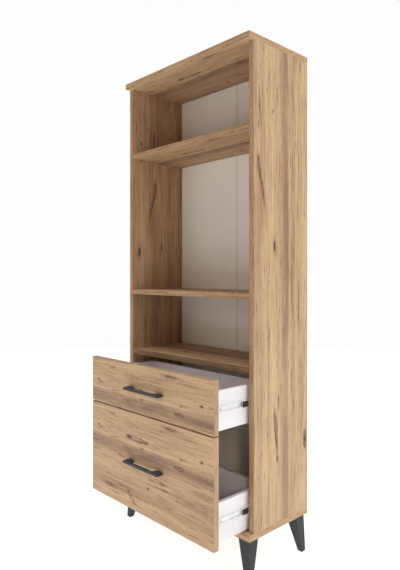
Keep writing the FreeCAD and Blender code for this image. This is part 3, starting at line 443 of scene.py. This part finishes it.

# ---------------------------------------------------------------------------
# Top and bottom boards and three shelves: the same chipboard, its grain from side to side.
# The figure runs in the same place on every one, counted from its front edge. The shelves' faces
# and edge bands are darkened with painted shade, and the shelves shine less than the outer boards.
# ---------------------------------------------------------------------------

# As on the sides, but along the print from the middle of the width, and across it from the front.
width_marks = [
    ("streak", -180, 23, 26, 4.0, -3),
    ("knot", -260, 74, 5, 2.2, 0),
    ("streak", -246, 80, 16, 4.0, 0),
    ("streak", 116, 14, 54, 7.0, 0),
    ("crack", 118, 16, 36, 5.0, 0),
    ("knot", -86, 80, 9, 3.2, 0),
    ("ring", -42, 80, 54, 7.5, 1),
    ("streak", -5, 81, 24, 4.5, 0),
    ("knot", -18, 105, 4, 2.2, 0),
    ("knot", 164, 92, 3, 2.0, 0),
    ("streak", 178, 90, 24, 4.0, 0),
    ("knot", 251, 78, 5, 3.0, 0),
    ("knot", 154, 119, 7, 2.6, 0),
    ("ring", 156, 119, 23, 5.0, 0),
    ("streak", -90, 121, 30, 9.0, 0),
    ("streak", 9, 127, 34, 9.0, 0),
    ("streak", 210, 124, 60, 9.0, 0),
    ("streak", 262, 124, 44, 10.0, 0),
    ("crack", 284, 126, 26, 5.0, 0),
    ("crack", -125, 150, 22, 3.0, 0),
    ("streak", 262, 167, 60, 11.0, 0),
    ("crack", 83, 186, 18, 4.0, 0),
    ("crack", 94, 200, 13, 3.2, 0),
    ("streak", 78, 202, 36, 4.0, 0),
    ("streak", 30, 187, 26, 4.0, 4),
    ("streak", 225, 206, 120, 22.0, 0),
    ("knot", 12, 218, 6, 2.6, 0),
    ("streak", -195, 260, 40, 9.0, 0),
    ("ring", -197, 261, 20, 5.0, 0),
    ("crack", -132, 249, 42, 2.6, -6),
    ("ring", -73, 268, 27, 7.0, 42),
    ("streak", 120, 244, 22, 4.0, 0),
    ("streak", 200, 30, 50, 3.0, 0),
    ("streak", -60, 44, 60, 3.0, 0),
]
width_lanes = [(0, 0.50), (9, 0.34), (16, 0.12), (22, 0.42), (28, 0.52), (40, 0.42), (46, 0.14),
               (52, 0.34), (57, 0.50), (64, 0.20), (76, 0.28), (88, 0.38), (96, 0.06), (104, 0.44),
               (114, 0.66), (126, 0.72), (140, 0.64), (150, 0.68), (155, 0.26), (166, 0.36),
               (178, 0.48), (190, 0.34), (204, 0.24), (216, 0.14), (232, 0.44), (244, 0.70),
               (262, 0.62), (272, 0.30), (286, 0.46)]
width_stains = [(124, 28, 0.78)]
width_figure = (width_lanes, width_stains, width_marks)


def lay(name, way, **shade_and_gloss):
    """A level board, with its marks on the lower face (way 1) or the upper one (way -1)."""
    low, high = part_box(name)
    face_z = low.z if way > 0 else high.z
    oak(name, ("X", 1, 0.0), ("Y", 1, low.y), ("Z", way, face_z), width_figure,
        [("Y", 1, low.y)], ends=True, **shade_and_gloss)
    ease(0.6 * mm, name)


# Painted shade: the shelves' faces are darkened, the middle shelf's most, and so are their edge
# bands, the lower shelf's deepest, where it stands over the open drawer.
shaded_shelf_band = (0.82, 0.79, 0.78, 1.0)
lay("top_board", 1)
lay("upper_shelf", 1, tint=(0.88, 0.86, 0.85, 1.0), band=shaded_shelf_band, gloss=0.12)
lay("middle_shelf", -1, tint=(0.66, 0.63, 0.62, 1.0), band=shaded_shelf_band, gloss=0.12)
lay("lower_shelf", -1, tint=(0.94, 0.92, 0.92, 1.0), band=(0.54, 0.51, 0.50, 1.0), gloss=0.30)
lay("bottom_board", 1)

# ---------------------------------------------------------------------------
# Back: two 3 mm hardboard sheets, rolled with matt off-white paint on the inside and bare brown
# behind. They stand in grooves, and an extruded plastic strip joins them.
# ---------------------------------------------------------------------------

material, s, place = new_material("painted_hardboard", Roughness=0.6)
clouds = s.noise(place, (6.0, 6.0, 6.0), 3.0)
roller = s.noise(place, (900.0, 900.0, 700.0))
paint = s.blend(clouds.fade(0.3, 0.7), tone(250, 250, 248), tone(245, 245, 243))
fibres = s.noise(place, (260.0, 260.0, 90.0), 3.0, 0.7)
bare = s.blend(fibres.fade(0.3, 0.7), tone(122, 92, 66), tone(148, 114, 84))
rear = place["Normal"].parts()["Y"].over(0.5)
connect(material, Base_Color=s.blend(rear, paint, bare), Roughness=0.5 + roller * 0.15,
        Normal=roller.bump(0.12, 0.2 * mm))
give(material, "back_sheet_left", "back_sheet_right")

material, s, place = new_material("joint_strip_plastic", Roughness=0.4)
clouds = s.noise(place, (30.0, 30.0, 8.0))
connect(material, Base_Color=s.blend(clouds, tone(236, 235, 232), tone(230, 228, 224)),
        Roughness=0.35 + clouds * 0.1)
give(material, "back_joint_strip")

# ---------------------------------------------------------------------------
# Legs: tapered beech posts in matt black lacquer, with black plastic glides pushed into their
# feet. Each is bolted to a steel plate under the bottom board.
# ---------------------------------------------------------------------------

legs = [f"{end}_{side}_leg" for end in ("front", "rear") for side in ("left", "right")]
material, s, place = new_material("black_lacquer", Specular_IOR_Level=0.45)
beech = s.noise(place, (380.0, 380.0, 14.0), 2.0, 0.6)
clouds = s.noise(place, (25.0, 25.0, 25.0))
connect(material, Base_Color=s.blend(clouds, tone(54, 55, 60), tone(64, 65, 70)),
        Roughness=0.36 + clouds * 0.14, Normal=beech.bump(0.15, 0.2 * mm))
give(material, *legs)
ease(1.5 * mm, *legs)

black_plastic, s, place = new_material("black_plastic", Roughness=0.5)
spark = s.noise(place, (1600.0, 1600.0, 1600.0), 1.0)
connect(black_plastic, Base_Color=s.blend(spark, tone(50, 46, 43), tone(64, 59, 55)),
        Roughness=0.45 + spark * 0.15, Normal=spark.bump(0.2, 0.1 * mm))
give(black_plastic, "foot_glides")


def steel(name, light, dark, rough, stretch, metal=1.0):
    """Plated steel: fine drawing lines and a slightly clouded plating."""
    material, s, place = new_material(name, Metallic=metal)
    lines = s.noise(place, stretch, 2.0, 0.7)
    clouds = s.noise(place, (45.0, 45.0, 45.0), 3.0)
    connect(material, Base_Color=s.blend(clouds.fade(0.3, 0.7), light, dark),
            Roughness=rough + lines * 0.16, Normal=lines.bump(0.1, 0.05 * mm))
    return material


dark_zinc = steel("dark_zinc", tone(86, 88, 92), tone(70, 72, 76), 0.3, (900.0, 900.0, 900.0))
give(dark_zinc, "leg_plates")

# ---------------------------------------------------------------------------
# Screws, bolts and cams in plated steel, which hold the boards, the legs and the slides, and the
# four bronzed pins under the upper shelf.
# ---------------------------------------------------------------------------

screw_steel = steel("screw_steel", tone(214, 214, 216), tone(184, 186, 190), 0.24,
                    (700.0, 700.0, 700.0))
give(screw_steel, "leg_plate_screws", "leg_bolts", "confirmat_screws", "cam_bolts", "cam_discs",
     "cabinet_rail_screws")
bronzed_steel = steel("bronzed_steel", tone(168, 132, 100), tone(148, 114, 84), 0.4,
                      (500.0, 500.0, 500.0), metal=0.3)
give(bronzed_steel, "shelf_pins")

# ---------------------------------------------------------------------------
# Beech dowels of the corners, the shelves and the drawer boxes: plain round rod cut to length,
# glued in, and hidden once the boards are closed.
# ---------------------------------------------------------------------------

material, s, place = new_material("beech_dowel", Roughness=0.7)
flecks = s.noise(place, (240.0, 240.0, 240.0))
connect(material, Base_Color=s.blend(flecks, tone(214, 178, 134), tone(196, 156, 112)))
give(material, "wooden_dowels", "upper_drawer_dowels", "lower_drawer_dowels")

# ---------------------------------------------------------------------------
# Drawer boxes: 12 mm boards wrapped in smooth white foil, dowelled at the corners, with a thin
# white bottom in a groove.
# ---------------------------------------------------------------------------

material, s, place = new_material("white_foil", Roughness=0.45)
clouds = s.noise(place, (7.0, 7.0, 7.0))
peel = s.noise(place, (420.0, 420.0, 420.0))
foil = s.blend(clouds.fade(0.3, 0.7), tone(243, 241, 245), tone(240, 238, 242))
connect(material, Base_Color=foil, Roughness=0.4 + peel * 0.1, Normal=peel.bump(0.06, 0.2 * mm))
for drawer in ("upper_drawer", "lower_drawer"):
    boards = [f"{drawer}_box_{side}" for side in ("front", "back", "left", "right")]
    give(material, *boards, f"{drawer}_bottom")
    ease(0.5 * mm, *boards)

# ---------------------------------------------------------------------------
# Slides: rails of cold-rolled steel in bright zinc, one on the cabinet, one on the drawer and a
# middle one between them, on steel balls in cages.
# ---------------------------------------------------------------------------

zinc = steel("bright_zinc", tone(250, 251, 252), tone(242, 243, 245), 0.40, (900.0, 12.0, 900.0),
             metal=0.6)
for drawer in ("upper", "lower"):
    give(zinc, f"{drawer}_left_cabinet_rail", f"{drawer}_right_cabinet_rail",
         f"{drawer}_drawer_left_rail", f"{drawer}_drawer_right_rail", f"{drawer}_middle_rails")
    give(screw_steel, f"{drawer}_drawer_rail_screws", f"{drawer}_outer_ball_cages",
         f"{drawer}_inner_ball_cages", f"{drawer}_drawer_front_screws",
         f"{drawer}_drawer_handle_screws")

# ---------------------------------------------------------------------------
# Slide shadow blocks: small blocks of black plastic over the front ends of the middle rails, moving
# with them. They are painted shade, a dark thing put where the mouths of the slides lie in shadow.
# ---------------------------------------------------------------------------

shadow_block_length, shadow_block_height, shadow_block_skin = 24 * mm, 17 * mm, 1.0 * mm
shadow_block_rim, shadow_block_dish, shadow_block_ease = 2.2 * mm, 0.3 * mm, 0.25 * mm
for drawer in ("upper", "lower"):
    low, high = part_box(f"{drawer}_middle_rails")
    middle_y = low.y + shadow_block_length / 2
    middle_z = (low.z + high.z) / 2
    for side, outer_x, way in (("left", low.x, -1), ("right", high.x, 1)):
        bpy.ops.object.select_all(action="DESELECT")
        bpy.ops.mesh.primitive_cube_add(
            size=1.0, location=(outer_x + way * shadow_block_skin / 2, middle_y, middle_z),
            scale=(shadow_block_skin, shadow_block_length, shadow_block_height))
        shadow_block = bpy.context.object
        shadow_block.name = f"{drawer}_{side}_slide_shadow_block"
        bpy.ops.object.transform_apply(location=True, rotation=True, scale=True)

        # The outer face is dished inside a rim, and every edge eased.
        bpy.ops.object.mode_set(mode="EDIT")
        shape = bmesh.from_edit_mesh(shadow_block.data)
        for face in shape.faces:
            face.select_set(face.normal.x * way > 0.9)
        bmesh.update_edit_mesh(shadow_block.data)
        bpy.ops.mesh.inset(thickness=shadow_block_rim, depth=-shadow_block_dish)
        bpy.ops.mesh.select_all(action="SELECT")
        bpy.ops.mesh.bevel(offset=shadow_block_ease, segments=2)
        bpy.ops.object.mode_set(mode="OBJECT")
        # The block's black is painted shade.
        shadow_block.data.materials.append(black_plastic)
        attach(shadow_block, f"{drawer}_middle_rails")

# ---------------------------------------------------------------------------
# Drawer fronts: the oak print again, grain from side to side, the same figure on both. All four
# edges carry a band, and screws from inside the box hold each front.
# ---------------------------------------------------------------------------

for front in ("upper_drawer_front", "lower_drawer_front"):
    low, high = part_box(front)
    oak(front, ("X", 1, 0.0), ("Z", -1, high.z), ("Y", 1, low.y), width_figure,
        [("X", 1, low.x), ("X", -1, high.x), ("Z", 1, low.z), ("Z", -1, high.z)],
        ends=True, band=(0.85, 0.87, 0.89, 1.0))
    ease(0.7 * mm, front)

# ---------------------------------------------------------------------------
# Handles: cast metal bows, powder coated in a fine matt black. Each is held by two screws through
# its front.
# ---------------------------------------------------------------------------

material, s, place = new_material("black_powder_coat", Specular_IOR_Level=0.5)
grit = s.noise(place, (1400.0, 1400.0, 1400.0))
clouds = s.noise(place, (30.0, 30.0, 30.0))
connect(material, Base_Color=s.blend(clouds, tone(58, 60, 67), tone(68, 70, 77)),
        Roughness=0.38 + grit * 0.12, Normal=grit.bump(0.2, 0.1 * mm))
give(material, "upper_drawer_handle", "lower_drawer_handle")
ease(0.7 * mm, "upper_drawer_handle", "lower_drawer_handle")

# ---------------------------------------------------------------------------
# The studio: a bright pale floor that fades out, under a room that is dim and warm at eye level
# and bright overhead.
# ---------------------------------------------------------------------------

floor_radius = 6.0
fade_start, fade_end = 2.0, 5.2
bpy.ops.object.select_all(action="DESELECT")
bpy.ops.mesh.primitive_circle_add(vertices=96, radius=floor_radius, fill_type="NGON",
                                  location=(0, 0, 0))
floor = bpy.context.object
floor.name = "studio_floor"
material, s, place = new_material("pale_floor", Roughness=0.9, Specular_IOR_Level=0.05,
                                  Base_Color=(0.5, 0.5, 0.5, 1.0),
                                  Emission_Color=(1.0, 1.0, 1.0, 1.0), Emission_Strength=0.76)
connect(material, Alpha=place.length().fade(fade_start, fade_end, 1.0, 0.0))
floor.data.materials.append(material)

# The room's light by height, from 0 straight down to 1 straight up. The camera sees it white.
room_light = [(0.26, (0.95, 0.95, 0.94, 1.0)),
              (0.46, (0.50, 0.44, 0.39, 1.0)),
              (0.53, (0.37, 0.32, 0.27, 1.0)),
              (0.80, (0.27, 0.23, 0.19, 1.0)),
              (0.94, (1.90, 1.87, 1.84, 1.0))]
room_white = (0.98, 0.98, 0.98, 1.0)
world = bpy.data.worlds.new("studio_room")
bpy.context.scene.world = world
world.use_nodes = True
world.node_tree.nodes.clear()
s = Shade(world.node_tree)
height = s.node("TexCoord", {}, {}, "Generated").parts()["Z"]
seen = s.node("LightPath", {}, {}, "Is Camera Ray")
light = s.blend(seen, (height * 0.5 + 0.5).ramp(*room_light), room_white)
glow = s.node("Background", {}, {"Color": light, "Strength": 1.0})
s.node("OutputWorld", {}, {"Surface": glow})

# ---------------------------------------------------------------------------
# The lights: a large soft box on the right, a small one low at the front, and two narrow beams,
# one into the gap beside the drawers and one into the lowest open bay.
# ---------------------------------------------------------------------------


def aim_light(name, kind, place, target, power, colour):
    """A light at a place, facing a target, that the camera doesn't see."""
    lamp = bpy.data.lights.new(name, kind)
    lamp.energy = power
    lamp.color = colour
    holder = bpy.data.objects.new(name, lamp)
    bpy.context.scene.collection.objects.link(holder)
    holder.location = place
    away = Vector(place) - Vector(target)
    holder.rotation_euler = away.to_track_quat("Z", "Y").to_euler()
    holder.visible_camera = False
    return lamp


def soft_box(name, place, target, power, colour, width, height):
    """An even square light."""
    lamp = aim_light(name, "AREA", place, target, power, colour)
    lamp.shape = "RECTANGLE"
    lamp.size = width
    lamp.size_y = height


def beam(name, place, target, power, colour, cone, blend, radius):
    """A narrow cone of light, so many degrees wide, with a soft rim."""
    lamp = aim_light(name, "SPOT", place, target, power, colour)
    lamp.spot_size = math.radians(cone)
    lamp.spot_blend = blend
    lamp.shadow_soft_size = radius


soft_box("side_light", (2.8, 0.15, 1.8), (0.0, 0.15, 1.35), 24, (0.87, 0.96, 1.0),
         width=1.2, height=2.0)
soft_box("low_light", (-0.5, -2.0, 0.35), (0.0, -0.2, 0.4), 1.2, (1.0, 1.0, 1.0),
         width=0.9, height=0.5)
beam("gap_light", (1.52, -1.22, 0.92), (0.3, -0.11, 0.36), 31, (1.0, 0.86, 0.72),
     cone=7, blend=0.6, radius=0.08)
beam("bay_light", (0.25, -1.7, 1.22), (0.0, 0.25, 0.65), 12, (1.0, 0.98, 0.95),
     cone=15, blend=1.0, radius=0.14)

bpy.context.scene.view_settings.view_transform = "Standard"
bpy.context.scene.view_settings.gamma = 0.89

# ---------------------------------------------------------------------------
# The camera: level, on the right of the open side, a little over half the bookcase's height. Its
# lens and shift are counted in pixels of a render 570 high.
# ---------------------------------------------------------------------------

render_height = 570
focal_pixels = 531.2
horizon_above_middle = 9.94
camera_turn = 46.6
camera = bpy.data.cameras.new("camera")
camera.sensor_width = 36.0
camera.lens = focal_pixels / render_height * camera.sensor_width
camera.shift_y = -horizon_above_middle / render_height
holder = bpy.data.objects.new("camera", camera)
bpy.context.scene.collection.objects.link(holder)
holder.location = (1.3001, -1.1963, 0.8818)
holder.rotation_euler = (math.radians(90), 0.0, math.radians(camera_turn))
bpy.context.scene.camera = holder
